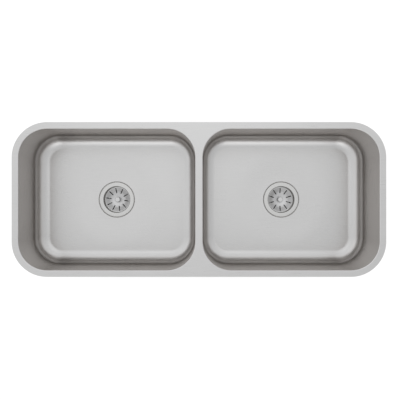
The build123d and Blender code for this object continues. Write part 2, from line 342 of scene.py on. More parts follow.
def turned(name, points, rounds, closed=True):
    """A piece turned about the waste's axis from its half-section. Rounds gives a radius for some corners."""
    piece = half_section(name, points, rounds, closed)
    bpy.ops.mesh.select_all(action="SELECT")
    bpy.ops.mesh.spin(steps=TURN_STEPS, angle=2 * pi, center=WASTE, axis=(0, 0, 1))
    merge_and_face_out()
    close_mesh()
    return piece


def ring(name, inner, outer, low, high, edge):
    """A flat ring with rounded edges."""
    corners = [(inner, low), (outer, low), (outer, high), (inner, high)]
    return shade(turned(name, corners, dict.fromkeys(range(4), edge)))


def repeat_around(piece, count):
    """Repeats the whole mesh evenly around the waste's axis."""
    open_mesh(piece)
    bpy.ops.mesh.select_all(action="SELECT")
    bpy.ops.mesh.spin(steps=count - 1, dupli=True, angle=2 * pi * (count - 1) / count,
                      center=WASTE, axis=(0, 0, 1), use_auto_merge=False)
    close_mesh()


def absorb(piece, *others):
    """Joins other pieces into this one's mesh."""
    choose(piece)
    for other in others:
        other.select_set(True)
    bpy.ops.object.join()
    return piece


def thread(name, crest, low, high):
    """A helical ridge on a cylinder, with the waste's axis."""
    root = crest - THREAD_DEPTH
    tooth = [(root, high), (crest, high - THREAD_PITCH / 2), (root, high - THREAD_PITCH)]
    piece = half_section(name, tooth[::-1], {}, closed=False)
    bpy.ops.mesh.select_all(action="SELECT")
    turns = int((high - low) / THREAD_PITCH) - 1
    bpy.ops.mesh.screw(steps=TURN_STEPS, turns=turns, center=WASTE, axis=(0, 0, 1))
    merge_and_face_out()
    close_mesh()
    return piece


# ---------------------------------------------------------------- rim and bowls
def past_opening(place):
    """How far a place on the rim lies outside the nearer bowl's opening."""
    across = abs(abs(place.x) - SPACING / 2) - (HALF_LENGTH - OPENING_CORNER)
    along = abs(place.y) - (HALF_WIDTH - OPENING_CORNER)
    return hypot(max(across, 0), max(along, 0)) + min(max(across, along), 0) - OPENING_CORNER


def make_deck():
    """Rim and strip between the bowls, turned down into a short collar round each bowl."""
    margin = 1.5 * EDGE_ROUND
    size = DECK_HIGH - DECK_LOW
    bpy.ops.mesh.primitive_plane_add(size=1)
    piece = name_it("rim_and_divider")
    open_mesh(piece)
    bpy.ops.mesh.delete(type="VERT")
    for x in (-SPACING / 2, SPACING / 2):
        for grow in (0, margin):
            rounded_loop(2 * (HALF_LENGTH + grow), 2 * (HALF_WIDTH + grow), OPENING_CORNER + grow, (x, 0, 0))
        pick(piece, "EDGE", lambda place: place.x * x > 0)
        bpy.ops.mesh.bridge_edge_loops()
    outer_corner = OPENING_CORNER + size.y / 2 - HALF_WIDTH
    rounded_loop(size.x, size.y, outer_corner, (0, 0, 0))
    pick(piece, "EDGE", lambda place: past_opening(place) > 0.9 * margin)
    bpy.ops.mesh.fill(use_beauty=True)
    pick(piece, "EDGE", lambda place: past_opening(place) < 0.1 * margin)
    bpy.ops.mesh.extrude_edges_move(TRANSFORM_OT_translate={"value": (0, 0, WELD)})
    merge_and_face_out()
    pick(piece, "EDGE", lambda place: level(0)(place) and past_opening(place) < 0.1 * margin)
    bpy.ops.mesh.bevel(offset=EDGE_ROUND, segments=8, affect="EDGES", loop_slide=False,
                       clamp_overlap=False)
    close_mesh()
    thicken(piece, SHEET)
    soften(piece, SHEET_EDGE)
    return shade(piece)


def make_bowl():
    """Pressed bowl: leaning walls, a large round to the floor, a fall to the waste and a recess there."""
    piece = block("left_pressed_bowl", 2 * HALF_LENGTH, 2 * HALF_WIDTH, FLOOR_EDGE, WELD, WASTE)
    open_mesh(piece)
    pick(piece, "FACE", level(WELD))
    bpy.ops.mesh.delete(type="ONLY_FACE")
    pick(piece, "FACE", level(FLOOR_EDGE))
    shrink = (1 - LEAN / HALF_LENGTH, 1 - LEAN / HALF_WIDTH, 1)
    bpy.ops.transform.resize(value=shrink, center_override=(BOWL_X, 0, FLOOR_EDGE))
    for right in (False, True):
        for back in (False, True):
            pick(piece, "EDGE", lambda place: (place.x > BOWL_X) == right and (place.y > 0) == back)
            bpy.ops.mesh.bevel(offset=OPENING_CORNER, segments=CORNER_STEPS, affect="EDGES",
                               clamp_overlap=False)
    pick(piece, "EDGE", level(FLOOR_EDGE))
    bpy.ops.mesh.bevel(offset=FLOOR_ROUND, segments=FLOOR_STEPS, affect="EDGES",
                       loop_slide=False, clamp_overlap=False)
    pick(piece, "FACE", level(FLOOR_EDGE))
    bpy.ops.mesh.delete(type="ONLY_FACE")
    close_mesh()
    absorb(piece, make_floor_middle())
    open_mesh(piece)
    pick(piece, "EDGE", level(FLOOR_EDGE))
    bpy.ops.mesh.bridge_edge_loops()
    merge_and_face_out()
    close_mesh()
    thicken(piece, SHEET)
    return shade(piece)


def make_floor_middle():
    """Middle of a bowl's floor: a smooth fall, then the recess's sloping edge and its flat, with the hole."""
    rim = RECESS_RIM_RADIUS + SHEET
    shares = [step / FALL_STEPS for step in range(FALL_STEPS + 1)]
    fall = [(FALL_RADIUS + (rim - FALL_RADIUS) * t, FLOOR_FALL * (1 - t * t * (3 - 2 * t))) for t in shares]
    recess = [
        (RECESS_RIM_RADIUS, 0),
        (RECESS_FLOOR_RADIUS, -RECESS_DEPTH),
        (HOLE_RADIUS, -RECESS_DEPTH),
    ]
    bends = {FALL_STEPS + 1: SHEET / 2, FALL_STEPS + 2: SHEET / 2}
    return turned("floor_middle", fall + recess, bends, closed=False)


def make_mats(node, name):
    """Rubber mats with their edges rounded, merged from the plain ones."""
    piece = bpy.data.objects.new(name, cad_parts[node].data.copy())
    bpy.context.scene.collection.objects.link(piece)
    piece.data.name = name
    open_mesh(piece)
    merge_and_face_out()
    bpy.ops.mesh.dissolve_limited(angle_limit=radians(0.3))
    close_mesh()
    soften(piece, PAD_EDGE, segments=3)
    return shade(piece)


# ---------------------------------------------------------------- strainer cup and what fixes it
def make_cup():
    """Flange, cup and outlet neck in one pressing. Both skins are drawn, closer where it is threaded."""
    ledge = MOUTH_RADIUS - LEDGE_WIDTH
    floor = ledge - CUP_TAPER
    points = [
        (FLANGE_RADIUS, -FLANGE_LIP),
        (FLANGE_RADIUS, 0),
        (MOUTH_RADIUS, 0),
        (MOUTH_RADIUS, -LEDGE_DEPTH),
        (ledge, -LEDGE_DEPTH),
        (floor, -CUP_DEPTH),
        (NECK_RADIUS, -CUP_DEPTH),
        (NECK_RADIUS, NECK_LOW),
        (NECK_RADIUS + SHEET - THREAD_DEPTH, NECK_LOW),
        (NECK_RADIUS + SHEET - THREAD_DEPTH, -CUP_DEPTH - SHEET),
        (floor + SHEET, -CUP_DEPTH - SHEET),
        (ledge + SHEET, -LEDGE_DEPTH - SHEET),
        (MOUTH_RADIUS + SHEET - THREAD_DEPTH, -LEDGE_DEPTH - SHEET),
        (MOUTH_RADIUS + SHEET - THREAD_DEPTH, -SHEET),
        (FLANGE_RADIUS - SHEET, -SHEET),
        (FLANGE_RADIUS - SHEET, -FLANGE_LIP),
    ]
    bends = {
        1: CUP_BEND, 2: MOUTH_ROUND, 3: CUP_TIGHT_BEND, 4: CUP_BEND, 5: CUP_FLOOR_ROUND, 6: NECK_ROUND,
        9: NECK_ROUND - SHEET, 10: CUP_FLOOR_ROUND + SHEET, 11: CUP_CREASE, 12: CUP_OUTER_BEND,
        13: MOUTH_ROUND - SHEET, 14: CUP_CREASE,
    }
    cup = turned("left_drain_cup", points, bends)
    shade(cup)
    neck = thread("neck_thread", NECK_RADIUS + SHEET, NECK_LOW + THREAD_DEPTH, -CUP_DEPTH - 2 * SHEET)
    wall = thread("wall_thread", MOUTH_RADIUS + SHEET, -LEDGE_DEPTH, GASKET_HIGH)
    return absorb(cup, shade(neck, 20), shade(wall, 20))


def make_cross_bars():
    """Ring on four bars, welded into the outlet neck."""
    low = BARS_HIGH - BAR_HEIGHT
    heights = (FLANGE_FACE + low, FLANGE_FACE + BARS_HIGH)
    piece = block("left_outlet_cross", 2.2 * NECK_RADIUS, BAR_WIDTH, *heights, WASTE)
    cut(piece, block("second_bar", BAR_WIDTH, 2.2 * NECK_RADIUS, *heights, WASTE), "UNION")
    cut(piece, disc("neck_bore", NECK_RADIUS, low - OVERSHOOT, BARS_HIGH + OVERSHOOT), "INTERSECT")
    cut(piece, disc("hub", HUB_RADIUS, low, BARS_HIGH), "UNION")
    cut(piece, disc("hub_hole", HUB_HOLE, low - OVERSHOOT, BARS_HIGH + OVERSHOOT))
    soften(piece, BAR_EDGE)
    return shade(piece)


def make_locknut():
    """Cast locknut: a flange above, and lugs round its wall for a spanner."""
    flange_low = FIBRE_LOW - LOCKNUT_FLANGE_HEIGHT
    points = [
        (WASHER_BORE, LOCKNUT_LOW),
        (LOCKNUT_WALL, LOCKNUT_LOW),
        (LOCKNUT_WALL, flange_low),
        (LOCKNUT_FLANGE, flange_low),
        (LOCKNUT_FLANGE, FIBRE_LOW),
        (WASHER_BORE, FIBRE_LOW),
    ]
    piece = turned("left_lugged_locknut", points, {})
    reach = LOCKNUT_FLANGE - LOCKNUT_WALL
    middle = WASTE + Vector((LOCKNUT_WALL, 0, 0))
    low, high = FLANGE_FACE + LOCKNUT_LOW, FLANGE_FACE + flange_low + LUG_IN_FLANGE
    lug = block("lug", 2 * reach, LUG_WIDTH, low, high, middle)
    open_mesh(lug)
    for back in (False, True):
        pick(lug, "EDGE", lambda place: place.x > middle.x and (place.y > 0) == back)
        bpy.ops.mesh.bevel(offset=LUG_ROUND, segments=6, affect="EDGES")
    close_mesh()
    repeat_around(lug, LUG_COUNT)
    cut(piece, lug, "UNION")
    soften(piece, LOCKNUT_EDGE)
    return shade(piece)


# ---------------------------------------------------------------- basket and stopper
def make_dish():
    """Pressed basket: a lip, a sloping side with radial slots and a flat floor."""
    points = [
        (DISH_RADIUS, DISH_LIP_HEIGHT),
        (DISH_SIDE_TOP, DISH_LIP_HEIGHT),
        (DISH_FLOOR_RADIUS, DISH_FLOOR_HEIGHT),
        (POST_RADIUS, DISH_FLOOR_HEIGHT),
    ]
    piece = turned("left_slotted_dish", points, {1: DISH_LIP_ROUND, 2: DISH_FLOOR_ROUND}, closed=False)
    thicken(piece, DISH_SHEET)
    middle = WASTE + Vector(((SLOT_INNER + SLOT_OUTER) / 2, 0, 0))
    length = SLOT_OUTER - SLOT_INNER
    low, high = WASTE.z + 1.2 * DISH_FLOOR_HEIGHT, WASTE.z
    slot = block("slot", length, SLOT_WIDTH, low, high, middle)
    open_mesh(slot)
    for outside in (False, True):
        for back in (False, True):
            pick(slot, "EDGE", lambda place: (place.x > middle.x) == outside and (place.y > 0) == back)
            bpy.ops.mesh.bevel(offset=SLOT_END, segments=6, affect="EDGES")
    close_mesh()
    repeat_around(slot, SLOT_COUNT)
    slot.data.transform(turn_about_waste(FIRST_SLOT))
    cut(piece, slot)
    return shade(piece)


def turn_about_waste(angle):
    """Turn about the left waste's axis, in degrees."""
    to_axis = Matrix.Translation(WASTE)
    return to_axis @ Matrix.Rotation(radians(angle), 4, "Z") @ to_axis.inverted()


def make_knob():
    """Finger knob: a rounded head on a waisted neck."""
    points = [
        (0, KNOB_TOP),
        (KNOB_RADIUS, KNOB_TOP),
        (KNOB_RADIUS, KNOB_TOP - KNOB_RIM),
        (KNOB_NECK, KNOB_TOP - KNOB_RIM - KNOB_RADIUS / 3),
        (KNOB_NECK, DISH_FLOOR_HEIGHT + 2 * KNOB_ROUND),
        (KNOB_FOOT, DISH_FLOOR_HEIGHT),
        (POST_RADIUS, DISH_FLOOR_HEIGHT),
        (POST_RADIUS, SOCKET_TOP),
        (0, SOCKET_TOP),
    ]
    rounds = dict.fromkeys((1, 2, 3, 4), KNOB_ROUND)
    return shade(turned("left_pull_knob", points, rounds, closed=False))


def make_post():
    """Post: a spigot in the knob, a collar under the dish, a shaft and a thin tip."""
    points = [
        (0, SOCKET_TOP),
        (POST_RADIUS, SOCKET_TOP),
        (POST_RADIUS, DISH_FLOOR_HEIGHT - DISH_SHEET),
        (POST_COLLAR, DISH_FLOOR_HEIGHT - DISH_SHEET),
        (POST_COLLAR, POST_COLLAR_LOW),
        (POST_RADIUS, POST_COLLAR_LOW),
        (POST_RADIUS, CLIP_LOW),
        (POST_TIP, CLIP_LOW),
        (POST_TIP, POST_LOW),
        (0, POST_LOW),
    ]
    rounds = {3: POST_EDGE, 4: POST_EDGE, 8: POST_TIP_EDGE}
    return shade(turned("left_centre_post", points, rounds, closed=False))


def make_stopper():
    """Rubber stopper: a neck that widens into a skirt."""
    edge_top = -CUP_DEPTH + STOPPER_EDGE
    points = [
        (STOPPER_BORE, STOPPER_HIGH),
        (STOPPER_NECK, STOPPER_HIGH),
        (STOPPER_NECK, STOPPER_NECK_FOOT),
        (STOPPER_RADIUS, edge_top),
        (STOPPER_RADIUS, -CUP_DEPTH),
        (STOPPER_BORE, -CUP_DEPTH),
    ]
    rounds = {1: STOPPER_ROUND, 2: STOPPER_EDGE, 3: STOPPER_ROUND, 4: STOPPER_LOW_EDGE}
    return shade(turned("left_rubber_stopper", points, rounds))


def make_catch():
    """Barrel-shaped catch on the post's tip."""
    middle = (CLIP_LOW + POST_LOW) / 2
    swell = (CATCH_END + 3 * CATCH_RADIUS) / 4
    quarter = (CLIP_LOW - POST_LOW) / 4
    points = [
        (POST_TIP, CLIP_LOW),
        (CATCH_END, CLIP_LOW),
        (swell, middle + quarter),
        (CATCH_RADIUS, middle),
        (swell, middle - quarter),
        (CATCH_END, POST_LOW),
        (POST_TIP, POST_LOW),
    ]
    rounds = {1: CATCH_EDGE, 2: CATCH_BARREL, 3: CATCH_BARREL, 4: CATCH_BARREL, 5: CATCH_EDGE}
    return shade(turned("left_snap_catch", points, rounds))


# ---------------------------------------------------------------- tailpiece
def make_tailpiece():
    """Tube with a turned-out flange at its top."""
    bore = TAIL_RADIUS - TAIL_WALL
    points = [(TAIL_FLANGE, TAIL_HIGH), (bore, TAIL_HIGH), (bore, TAIL_LOW)]
    piece = turned("left_outlet_tube", points, {1: TAIL_BEND}, closed=False)
    thicken(piece, TAIL_WALL)
    soften(piece, SHEET_EDGE)
    return shade(piece)


def make_coupling_nut():
    """Hexagon nut with its corners turned off, stepped inside for the tube's flange."""
    corner = NUT_APOTHEM / 0.75 ** 0.5
    piece = disc("left_hexagon_nut", corner, NUT_LOW, NUT_HIGH, corners=6)
    rounded = [
        (0, NUT_HIGH),
        (corner - NUT_CHAMFER, NUT_HIGH),
        (corner, NUT_HIGH - NUT_CHAMFER),
        (corner, NUT_LOW + NUT_CHAMFER),
        (corner - NUT_CHAMFER, NUT_LOW),
        (0, NUT_LOW),
    ]
    cut(piece, turned("turned_corners", rounded, {}, closed=False), "INTERSECT")
    cut(piece, disc("thread_bore", NUT_BORE, NUT_LEDGE, NUT_HIGH + OVERSHOOT))
    cut(piece, disc("tube_hole", NUT_HOLE, NUT_LOW - OVERSHOOT, NUT_HIGH + OVERSHOOT))
    soften(piece, NUT_EDGE, angle=30)
    return shade(piece, 25)


# ---------------------------------------------------------------- shader groups
NOISE_RANGE = (0.32, 0.68)     # noise crowds about its middle: what lies outside this is rare
CROSSWISE = (0.5, 0.8)         # how far a wall faces along X where lines begin, and end, turning crosswise
SCRATCH_SETS = ((33, 1500.0), (-52, 1100.0))   # angle, and scratches in a metre
SCRATCH_RANGE = (0.68, 0.76)   # the rare peaks of noise that become scratches


def add_node(tree, kind, inputs=(), **settings):
    """Adds a node, sets its properties, and fills or links its inputs: {name or number: value or socket}."""
    node = tree.nodes.new(kind)
    for setting, value in settings.items():
        setattr(node, setting, value)
    for socket, value in dict(inputs).items():
        if isinstance(value, bpy.types.NodeSocket):
            tree.links.new(value, node.inputs[socket])
        else:
            node.inputs[socket].default_value = value
    return node


def math_node(tree, operation, *values):
    """Arithmetic on masks and numbers."""
    return add_node(tree, "ShaderNodeMath", dict(enumerate(values)), operation=operation).outputs[0]


def combine(tree, *values):
    """A vector from masks and numbers."""
    return add_node(tree, "ShaderNodeCombineXYZ", dict(enumerate(values))).outputs[0]


def separate(tree, vector):
    """The x, y and z of a vector."""
    return add_node(tree, "ShaderNodeSeparateXYZ", {0: vector}).outputs


def stretch(tree, place, *factors):
    """A place with each axis multiplied by its own factor."""
    factors = combine(tree, *factors)
    return add_node(tree, "ShaderNodeVectorMath", {0: place, 1: factors}, operation="MULTIPLY").outputs[0]


def noise(tree, place, scale, detail, roughness=0.5):
    return add_node(tree, "ShaderNodeTexNoise", {
        "Vector": place, "Scale": scale, "Detail": detail, "Roughness": roughness,
    }).outputs[0]


def ramp(tree, value, low, high, **settings):
    """A mask that is 0 up to low and 1 from high."""
    return add_node(tree, "ShaderNodeMapRange", {0: value, 1: low, 2: high}, **settings).outputs[0]


def new_group(name, inputs, outputs):
    """A shader group with named inputs, {name: default}, and named outputs. A triple is a vector."""
    group = bpy.data.node_groups.new(name, "ShaderNodeTree")
    for socket, default in inputs.items():
        kind = "NodeSocketVector" if isinstance(default, tuple) else "NodeSocketFloat"
        group.interface.new_socket(name=socket, in_out="INPUT", socket_type=kind).default_value = default
    for socket in outputs:
        group.interface.new_socket(name=socket, in_out="OUTPUT", socket_type="NodeSocketFloat")
    return group, group.nodes.new("NodeGroupInput").outputs, group.nodes.new("NodeGroupOutput").inputs


def make_grain_group():
    """Fine drawn lines that run lengthwise, or crosswise on walls that face along X."""
    group, given, result = new_group("drawn_grain", {
        "Place": (0, 0, 0), "Facing": (0, 0, 1), "Line length": 0.05, "Line width": 0.0006,
    }, ["Grain"])
    along = math_node(group, "DIVIDE", 1.0, given["Line length"])
    across = math_node(group, "DIVIDE", 1.0, given["Line width"])
    lengthwise, crosswise = (
        noise(group, stretch(group, given["Place"], *factors), 1.0, 3.0, 0.6)
        for factors in ((along, across, across), (across, along, across)))
    sideways = math_node(group, "ABSOLUTE", separate(group, given["Facing"])[0])
    turning = ramp(group, sideways, *CROSSWISE, interpolation_type="SMOOTHSTEP")
    lines = add_node(group, "ShaderNodeMix", {0: turning, 2: lengthwise, 3: crosswise}, data_type="FLOAT")
    group.links.new(ramp(group, lines.outputs[0], *NOISE_RANGE), result["Grain"])
    return group


def make_turned_group():
    """Fine lines that run round the nearer waste's axis, and the distance from that axis."""
    group, given, result = new_group("turned_grain", {
        "Place": (0, 0, 0), "Line length": 0.012, "Line width": 0.0004,
    }, ["Grain", "Radius"])
    x, y, z = separate(group, given["Place"])
    from_axis = math_node(group, "SUBTRACT", math_node(group, "ABSOLUTE", x), SPACING / 2)
    outward = combine(group, from_axis, y)
    radius = add_node(group, "ShaderNodeVectorMath", {0: outward}, operation="LENGTH").outputs[1]
    place = combine(
        group,
        math_node(group, "DIVIDE", math_node(group, "ADD", radius, z), given["Line width"]),
        math_node(group, "DIVIDE", x, given["Line length"]),
        math_node(group, "DIVIDE", y, given["Line length"]),
    )
    group.links.new(ramp(group, noise(group, place, 1.0, 3.0, 0.6), *NOISE_RANGE), result["Grain"])
    group.links.new(radius, result["Radius"])
    return group


def make_handling_group():
    """Soft clouds left by washing, and hair-fine scratches in two directions."""
    group, given, result = new_group("handling_marks", {
        "Place": (0, 0, 0), "Cloud size": 0.12, "Scratch length": 0.03,
    }, ["Clouds", "Scratches"])
    cloud_scale = math_node(group, "DIVIDE", 1.0, given["Cloud size"])
    clouds = noise(group, given["Place"], cloud_scale, 3.0)
    group.links.new(ramp(group, clouds, *NOISE_RANGE), result["Clouds"])
    along = math_node(group, "DIVIDE", 1.0, given["Scratch length"])
    sets = []
    for angle, fineness in SCRATCH_SETS:
        turn = add_node(group, "ShaderNodeMapping", {
            "Vector": given["Place"], "Rotation": (0, 0, radians(angle)),
        }).outputs[0]
        lines = noise(group, stretch(group, turn, along, fineness, along), 1.0, 1.0)
        sets.append(ramp(group, lines, *SCRATCH_RANGE))
    group.links.new(math_node(group, "MAXIMUM", *sets), result["Scratches"])
    return group


def make_skin_group():
    """Skin of moulded, cast or pressed stuff: fine bumps over soft unevenness."""
    group, given, result = new_group("moulded_skin", {
        "Place": (0, 0, 0), "Bump size": 0.0006, "Patch size": 0.02,
    }, ["Height", "Patches"])
    for size, detail, output in (("Bump size", 2.0, "Height"), ("Patch size", 4.0, "Patches")):
        scale = math_node(group, "DIVIDE", 1.0, given[size])
        clouds = noise(group, given["Place"], scale, detail)
        group.links.new(ramp(group, clouds, *NOISE_RANGE), result[output])
    return group


GRAIN = make_grain_group()
TURNED_GRAIN = make_turned_group()
HANDLING = make_handling_group()
SKIN = make_skin_group()


# ---------------------------------------------------------------- materials
GRAIN_SHARE = 0.7              # of the grain in how uneven a steel looks: the rest is clouds
STREAK_SHADES = (0.95, 1.05)   # darkest and lightest streak, times the steel's colour
STEEL_ROUGHNESS_SPREAD = 0.04
SKIN_ROUGHNESS_SPREAD = 0.08
SCRATCH_ROUGHNESS = 0.05
SCRATCH_DEPTH = 0.25           # times the depth of the grain


def new_material(name):
    """A material's tree, its shader, the place on the piece and the way the surface faces there."""
    material = bpy.data.materials.new(name)
    material.use_nodes = True
    tree = material.node_tree
    where = add_node(tree, "ShaderNodeTexCoord").outputs
    return material, tree, tree.nodes["Principled BSDF"], where["Object"], where["Normal"]


def spread(tree, mask, low, high):
    """A mask from 0 to 1 as values from low to high."""
    return add_node(tree, "ShaderNodeMapRange", {0: mask, 3: low, 4: high}).outputs[0]


def between(tree, mask, first, second):
    """Two colours mixed by a mask. Each is three numbers or a socket."""
    first, second = ((*colour, 1) if isinstance(colour, tuple) else colour for colour in (first, second))
    return add_node(tree, "ShaderNodeMix", {0: mask, 6: first, 7: second}, data_type="RGBA").outputs[2]


def scaled(colour, factor):
    return tuple(factor * channel for channel in colour)


def bump(tree, shader, height, depth):
    node = add_node(tree, "ShaderNodeBump", {"Height": height, "Distance": depth, "Strength": 1.0})
    tree.links.new(node.outputs[0], shader.inputs["Normal"])


def steel(name, grain_group, line_length, line_width, depth, flat_colour, painted_wall_shade, unshaded_from, roughness,
          edge_tint):
    """Stainless steel with fine lines, washed clouds and hair scratches. Faces that slope take the walls'
    colour,
    which is painted shade: darker steel standing in for the shade inside a waste, and on the sink a painted
    warm tint for the reflections between its walls. A pair of levels says how level a place is where that
    painted shade ends and where the flat colour is full. A turned piece has no painted shade wherever it lies
    past the hole in the floor."""
    material, tree, shader, place, facing = new_material(name)
    grain = add_node(tree, "ShaderNodeGroup", node_tree=grain_group)
    tree.links.new(place, grain.inputs["Place"])
    if "Facing" in grain.inputs:
        tree.links.new(facing, grain.inputs["Facing"])
    grain.inputs["Line length"].default_value = line_length
    grain.inputs["Line width"].default_value = line_width
    marks = add_node(tree, "ShaderNodeGroup", node_tree=HANDLING)
    tree.links.new(place, marks.inputs["Place"])
    clouds = math_node(tree, "MULTIPLY", marks.outputs["Clouds"], 1 - GRAIN_SHARE)
    uneven = math_node(tree, "MULTIPLY_ADD", grain.outputs["Grain"], GRAIN_SHARE, clouds)
    # Painted shade: the more a face slopes, the more it takes the walls' colour instead of the flat one.
    flat = ramp(tree, math_node(tree, "ABSOLUTE", separate(tree, facing)[2]), *unshaded_from)
    # Past the hole in the floor, a turned piece gets no painted shade.
    if "Radius" in grain.outputs:
        outside = math_node(tree, "GREATER_THAN", grain.outputs["Radius"], HOLE_RADIUS)
        flat = math_node(tree, "MAXIMUM", flat, outside)
    darker, lighter = (between(tree, flat, scaled(painted_wall_shade, shade_of), scaled(flat_colour, shade_of))
                       for shade_of in STREAK_SHADES)
    tree.links.new(between(tree, uneven, darker, lighter), shader.inputs["Base Color"])
    polish = spread(tree, uneven, roughness - STEEL_ROUGHNESS_SPREAD, roughness + STEEL_ROUGHNESS_SPREAD)
    worn = spread(tree, marks.outputs["Scratches"], 0, SCRATCH_ROUGHNESS)
    tree.links.new(math_node(tree, "ADD", polish, worn), shader.inputs["Roughness"])
    scratched = spread(tree, marks.outputs["Scratches"], 0, SCRATCH_DEPTH)
    bump(tree, shader, math_node(tree, "SUBTRACT", grain.outputs["Grain"], scratched), depth)
    shader.inputs["Metallic"].default_value = 1
    shader.inputs["Specular Tint"].default_value = (*edge_tint, 1)
    return material


def moulded(name, dark, light, roughness, bump_size, bump_depth, patch_size=0.02, metallic=0.0):
    """Rubber, plastic, pressed fibre or cast metal."""
    material, tree, shader, place, _ = new_material(name)
    skin = add_node(tree, "ShaderNodeGroup", node_tree=SKIN)
    tree.links.new(place, skin.inputs["Place"])
    skin.inputs["Bump size"].default_value = bump_size
    skin.inputs["Patch size"].default_value = patch_size
    patches = skin.outputs["Patches"]
    tree.links.new(between(tree, patches, dark, light), shader.inputs["Base Color"])
    polish = spread(tree, patches, roughness - SKIN_ROUGHNESS_SPREAD, roughness + SKIN_ROUGHNESS_SPREAD)
    tree.links.new(polish, shader.inputs["Roughness"])
    bump(tree, shader, skin.outputs["Height"], bump_depth)
    shader.inputs["Metallic"].default_value = metallic
    return material


# On the sink the walls' colour is a painted warm tint, a little darker, standing in for reflections passing
# between its walls.
SINK_STEEL = steel(
    "satin_sink_steel", GRAIN, line_length=0.05, line_width=0.0006, depth=0.005 * MM,
    flat_colour=(0.56, 0.56, 0.56), painted_wall_shade=(0.57, 0.553, 0.54), unshaded_from=(0.55, 0.92),
    roughness=0.30, edge_tint=(0.80, 0.77, 0.745))
# The walls' colour here is painted shade: inside the hole, the cup's sloping and upright faces, its mouth's
# round and the cross bars' sides are painted dark.
WASTE_STEEL = steel(
    "bright_waste_steel", TURNED_GRAIN, line_length=0.012, line_width=0.0004, depth=0.004 * MM,
    flat_colour=(0.54, 0.54, 0.535), painted_wall_shade=(0.22, 0.217, 0.213), unshaded_from=(0.85, 1.0),
    roughness=0.24, edge_tint=(0.78, 0.76, 0.74))
# Rougher steel, and its walls' colour is painted shade: the basket's sloping side and lip, and the sides of
# its knob, post and clip, are painted darker.
BASKET_STEEL = steel(
    "dull_basket_steel", TURNED_GRAIN, line_length=0.008, line_width=0.0004, depth=0.004 * MM,
    flat_colour=(0.57, 0.57, 0.575), painted_wall_shade=(0.30, 0.30, 0.30), unshaded_from=(0.88, 1.0),
    roughness=0.32, edge_tint=(0.72, 0.71, 0.70))
CHROME = steel(
    "chromed_tube", TURNED_GRAIN, line_length=0.08, line_width=0.0012, depth=0.001 * MM,
    flat_colour=(0.50, 0.51, 0.52), painted_wall_shade=(0.50, 0.51, 0.52), unshaded_from=(0.75, 1.0),
    roughness=0.12, edge_tint=(0.9, 0.9, 0.9))
MAT_RUBBER = moulded(
    "damping_mat_rubber", dark=(0.024, 0.024, 0.026), light=(0.036, 0.036, 0.038),
    roughness=0.75, bump_size=0.0016, bump_depth=0.0002)
BLACK_RUBBER = moulded(
    "stopper_rubber", dark=(0.010, 0.010, 0.010), light=(0.022, 0.022, 0.021),
    roughness=0.55, bump_size=0.0004, bump_depth=0.00002)
PALE_SEAL = moulded(
    "pale_seal_rubber", dark=(0.60, 0.58, 0.53), light=(0.70, 0.68, 0.63),
    roughness=0.6, bump_size=0.0005, bump_depth=0.00003)
FIBRE = moulded(
    "pressed_fibre", dark=(0.20, 0.12, 0.06), light=(0.34, 0.23, 0.13),
    roughness=0.85, bump_size=0.0003, bump_depth=0.00005, patch_size=0.004)
ZINC = moulded(
    "cast_zinc", dark=(0.36, 0.36, 0.36), light=(0.48, 0.48, 0.475),
    roughness=0.42, bump_size=0.0005, bump_depth=0.00004, patch_size=0.008, metallic=1.0)
WHITE_PLASTIC = moulded(
    "catch_plastic", dark=(0.72, 0.72, 0.70), light=(0.80, 0.80, 0.78),
    roughness=0.38, bump_size=0.0003, bump_depth=0.00001, patch_size=0.003)


# ---------------------------------------------------------------- dressing the frame
def dress(piece, material, body, node):
    """Gives a piece its finish, its body and the plain piece that it stands for."""
    piece.data.materials.clear()
    piece.data.materials.append(material)
    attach(piece, body)
    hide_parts(node)


def twin_of(piece, turn):
    """The right-hand copy of a left-hand piece, with its own mesh, turned about its waste."""
    twin = piece.copy()
    twin.data = piece.data.copy()
    twin.name = twin.data.name = piece.name.replace("left", "right")
    bpy.context.scene.collection.objects.link(twin)
    twin.data.transform(Matrix.Translation((SPACING, 0, 0)) @ turn_about_waste(turn))
    return twin


